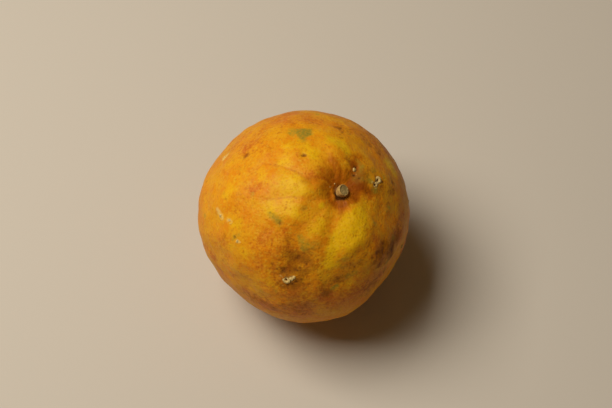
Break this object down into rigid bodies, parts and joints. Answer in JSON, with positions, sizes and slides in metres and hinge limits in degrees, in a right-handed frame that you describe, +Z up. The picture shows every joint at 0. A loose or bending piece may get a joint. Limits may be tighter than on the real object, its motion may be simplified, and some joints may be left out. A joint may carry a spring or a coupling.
{
  "type": "lemon",
  "caption": "Round, lumpy, rough-skinned lemon with a short woody stalk stub in a puckered dimple, lying on a small flat spot.",
  "frame": {"origin": "middle of the flat spot that the fruit rests on, with the centre of its weight straight above", "axes": "+Z up off the table; -Y is the side that the picture is taken from, +X to its right; the stalk leans 24 degrees off +Z towards +X and -Y"},
  "size_m": [0.0708, 0.0703, 0.0712],
  "materials": {
    "rind": "low-sheen waxy citrus rind, orange-yellow, pebbled with oil glands, with russet, olive patches and corky scars",
    "stalk_wood": "dry tan bark with a grey-olive cut end"
  },
  "bodies": {
    "root": {"fruit": "rind", "stalk_stub": "stalk_wood"}
  },
  "joints": []
}
